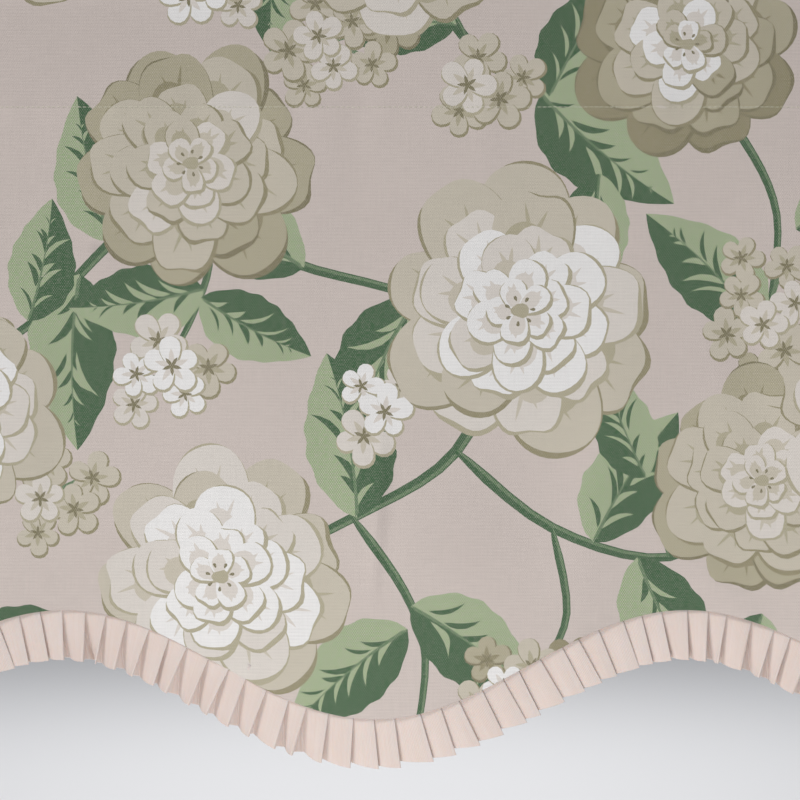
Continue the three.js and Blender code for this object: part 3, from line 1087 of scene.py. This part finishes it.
def sheet_faces(rows, columns):
    """The faces of a closed sheet from two grids of points, its front first."""
    far, faces = rows * columns, []
    for i in range(rows - 1):
        for j in range(columns - 1):
            upper, lower = i * columns + j, (i + 1) * columns + j
            quad = (upper, lower, lower + 1, upper + 1)
            faces += [quad, tuple(corner + far for corner in quad[::-1])]
    grid = np.arange(far).reshape(rows, columns)
    for edge, flip in ((grid[:, 0], 0), (grid[:, -1], 1), (grid[0], 1), (grid[-1], 0)):
        for a, b in zip(edge[:-1].tolist(), edge[1:].tolist()):
            quad = (b, a, a + far, b + far)
            faces.append(quad[::-1] if flip else quad)
    return faces


both_sides = np.vstack([front_side, back_side])
ribbon = new_piece("pleated_trim", both_sides, sheet_faces(row_count, column_count))
heights = np.repeat(np.array(ROW_HEIGHTS), column_count)
runs = np.tile(ribbon_run, row_count)
map_flat(ribbon, "ribbon_run", np.tile(np.column_stack([runs, heights]), (2, 1)))

RIB_PITCH = 1.0 * MM
RIBBON_COLOUR = solid(221, 208, 203)
# A colour used both as painted shade in the hollows between the ribs and for the ribbon's random
# cloudy tone
RIBBON_PAINTED_SHADE_AND_MOTTLE = solid(209, 187, 174)
ribbed = Nodes("ribbed_ribbon_peach_cream")
run = ribbed.add("ShaderNodeUVMap", uv_map="ribbon_run").outputs["UV"]
ribs = ribbed.bands(run, "X", 1 / RIB_PITCH * BANDS_PER_UNIT)
rib_changes = ribbed.noise(run, (1, 0.03, 1), 480, detail=3, rough=0.7)
ribbon_clouds = ribbed.noise(run, (1, 1, 1), 30, detail=2)
# Painted shade between the ribs, deeper or fainter along the ribbon
rib_shade = ribbed.ranged(ribs, 0, 1, 0.42, 0.0)
painted_rib_shade = ribbed.maths("MULTIPLY", rib_shade, ribbed.ranged(rib_changes, 0.35, 0.65, 0.25, 1.35))
ribbon_base = ribbed.mixed(painted_rib_shade, RIBBON_COLOUR, RIBBON_PAINTED_SHADE_AND_MOTTLE)
cloudiness = ribbed.ranged(ribbon_clouds, 0.35, 0.65, 0.0, 0.18)
ribbed.finish({
    "Base Color": ribbed.mixed(cloudiness, ribbon_base, RIBBON_PAINTED_SHADE_AND_MOTTLE),
    "Roughness": 0.62,
    "Specular IOR Level": 0.3,
    "Sheen Weight": 0.2,
    "Subsurface Weight": 0.16,
    "Subsurface Radius": (1.0, 0.55, 0.35),
    "Subsurface Scale": 2.0 * MM,
})
ribbed.bump(ribs, 0.5, 0.2 * MM)
ribbon.data.materials.append(ribbed.material)

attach(ribbon, "root")
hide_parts("pleated_ribbon")

# Sewing threads: lockstitches in a pale thread. They hold down the pocket's flap and the side
# hems, and sew the ribbon to the back of the hem.
STITCH_PITCH = 3.5
STITCH_LENGTH = 2.7
THREAD_RADIUS = 0.2
STITCH_RINGS = [
    # place along the stitch, share of the thread's radius, height above the cloth
    (0.0, 0.35, -0.12),
    (0.12, 0.8, 0.05),
    (0.35, 1.0, 0.16),
    (0.65, 1.0, 0.16),
    (0.88, 0.8, 0.05),
    (1.0, 0.35, -0.12),
]
THREAD_SIDES = 6


def stitch_row(starts, ends, ways_out):
    """Stitches from start to end points, as one mesh of small bent rods."""
    points, faces = [], []
    for start, end, way_out in zip(starts, ends, ways_out):
        along = (end - start) / np.linalg.norm(end - start)
        side = np.cross(along, way_out)
        ring = list(range(len(points), len(points) + THREAD_SIDES))
        faces.append(ring)
        for number, (share, thick, height) in enumerate(STITCH_RINGS):
            middle = start + (end - start) * share + way_out * height
            for k in range(THREAD_SIDES):
                angle = 2 * math.pi * k / THREAD_SIDES
                spoke = side * math.cos(angle) + way_out * math.sin(angle)
                points.append(middle + spoke * thick * THREAD_RADIUS)
            if number:
                before, ring = ring, [k + THREAD_SIDES for k in ring]
                for k in range(THREAD_SIDES):
                    faces.append((before[k - 1], ring[k - 1], ring[k], before[k]))
        faces.append(ring[::-1])
    return np.array(points), faces


def sewn_on_cloth(lines):
    """Stitches along lines of the flat cut, each from one (u, v) to another."""
    heads, tails = [], []
    for start, end in np.array(lines, float):
        length = np.linalg.norm(end - start)
        way = (end - start) / length
        heads.append(start + np.arange(0, length - STITCH_PITCH, STITCH_PITCH)[:, None] * way)
        tails.append(heads[-1] + way * STITCH_LENGTH)
    heads, tails = np.vstack(heads), np.vstack(tails)
    return stitch_row(hung(*heads.T), hung(*tails.T), outward(*(heads + tails).T / 2))


thread = Nodes("pale_sewing_thread")
THREAD_COLOUR = solid(226, 224, 206)
THREAD_DARK = solid(204, 202, 182)
twist = thread.add("ShaderNodeTexCoord").outputs["Object"]
strands = thread.noise(twist, (1, 1, 1), 2200, detail=1)
strand_share = thread.ranged(strands, 0.35, 0.65, 0, 1)
thread_tint = thread.mixed(strand_share, THREAD_COLOUR, THREAD_DARK)
thread.finish({"Base Color": thread_tint, "Roughness": 0.55, "Sheen Weight": 0.3})

INSET = 10.0
SEAM_END = 3.0
SIDE_LOWEST = 4.0
SIDE_TOP = 8.0
half = WIDTH / 2
side_low = hem_height(half) + SIDE_LOWEST
pocket_seam = []
for v in (STITCH_Z, STITCH_Z + BACK_END):
    pocket_seam.append(((SEAM_END - half, v), (half - SEAM_END, v)))
side_seams = []
for side in (-1, 1):
    for u in (half - INSET, half + TURN_LENGTH + INSET):
        side_seams.append(((side * u, side_low + ALLOWANCE), (side * u, STITCH_Z - SIDE_TOP)))


def thread_piece(name, points, faces, slot):
    piece = new_piece(name, points, faces)
    piece.data.materials.append(thread.material)
    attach(piece, "root")
    return piece


pocket_thread = thread_piece("pocket_stitches", *sewn_on_cloth(pocket_seam), "printed_cloth")
side_thread = thread_piece("side_hem_stitches", *sewn_on_cloth(side_seams), "printed_cloth")

SEAM_ABOVE = 5.0
seam_x = np.arange(-half + 4, half - 6, STITCH_PITCH)
seam_y_behind = FACE_Y + RIBBON_Y + SEWN_DEPTH + RIBBON_THICKNESS / 2


def on_header(x):
    z = hem_height(x) + SEAM_ABOVE
    return np.column_stack([x, seam_y_behind + fold_depth(x, z), z])


seam_out = np.tile([0.0, 1.0, 0.0], (len(seam_x), 1))
seam_stitches = stitch_row(on_header(seam_x), on_header(seam_x + STITCH_LENGTH), seam_out)
ribbon_thread = thread_piece("ribbon_seam_stitches", *seam_stitches, "ribbed_ribbon")

# Studio: a pale floor well below the hem, soft light from the upper left, and a camera square to
# the cloth, from as near as the picture was taken.
FLOOR_Z = -1450.0
FLOOR_REACH = 18000.0
floor_corners = FLOOR_REACH * np.array([(-1, -1, 0), (1, -1, 0), (1, 1, 0), (-1, 1, 0)])
floor = new_piece("studio_floor", floor_corners + (0, 0, FLOOR_Z), [(0, 1, 2, 3)])
paint = Nodes("pale_floor")
paint.finish({"Base Color": (0.75, 0.75, 0.76, 1), "Roughness": 0.9})
floor.data.materials.append(paint.material)

world = bpy.data.worlds.new("soft_studio")
world.use_nodes = True
sky = world.node_tree.nodes["Background"]
sky.inputs["Color"].default_value = (0.93, 0.95, 1.0, 1)
sky.inputs["Strength"].default_value = 0.315
bpy.context.scene.world = world

LIGHTS = [
    # name, place, size, power, colour
    ("key", (-3.4, -3.4, 4.8), 1.9, 279, (1.0, 0.985, 0.96)),
    ("low_fill", (0.0, -0.6, -0.97), 0.8, 4.5, (1.0, 0.98, 0.96)),
    ("rim", (0.6, 1.6, 0.9), 1.2, 10, (1.0, 1.0, 1.0)),
    ("behind", (0.0, 5.5, 1.2), 4.0, 80, (1.0, 1.0, 1.0)),
]
LOOK_AT = Vector((0.0, 0.0, -0.27))
for name, place, size, power, colour in LIGHTS:
    lamp = bpy.data.lights.new(name, "AREA")
    lamp.size = size
    lamp.energy = power
    lamp.color = colour
    light_object = bpy.data.objects.new(name, lamp)
    light_object.location = place
    light_object.visible_camera = False
    # The lamp behind shines straight down on the floor, and the others on the cloth
    facing = Vector((0, 0, 1)) if name == "behind" else Vector(place) - LOOK_AT
    light_object.rotation_euler = facing.to_track_quat("Z", "Y").to_euler()
    bpy.context.scene.collection.objects.link(light_object)

FRAME_WIDE = 541.6 * MM
CAMERA_AWAY = 1.5
CAMERA_X = 16.9 * MM
CAMERA_Z = -265.4 * MM
camera_data = bpy.data.cameras.new("camera")
camera_data.sensor_width = 36.0
camera_data.lens = camera_data.sensor_width * CAMERA_AWAY / FRAME_WIDE
camera = bpy.data.objects.new("camera", camera_data)
camera.location = (CAMERA_X, -CAMERA_AWAY + FACE_Y * MM, CAMERA_Z)
camera.rotation_euler = (math.pi / 2, 0, 0)
bpy.context.scene.collection.objects.link(camera)
bpy.context.scene.camera = camera
bpy.context.scene.view_settings.view_transform = "Standard"
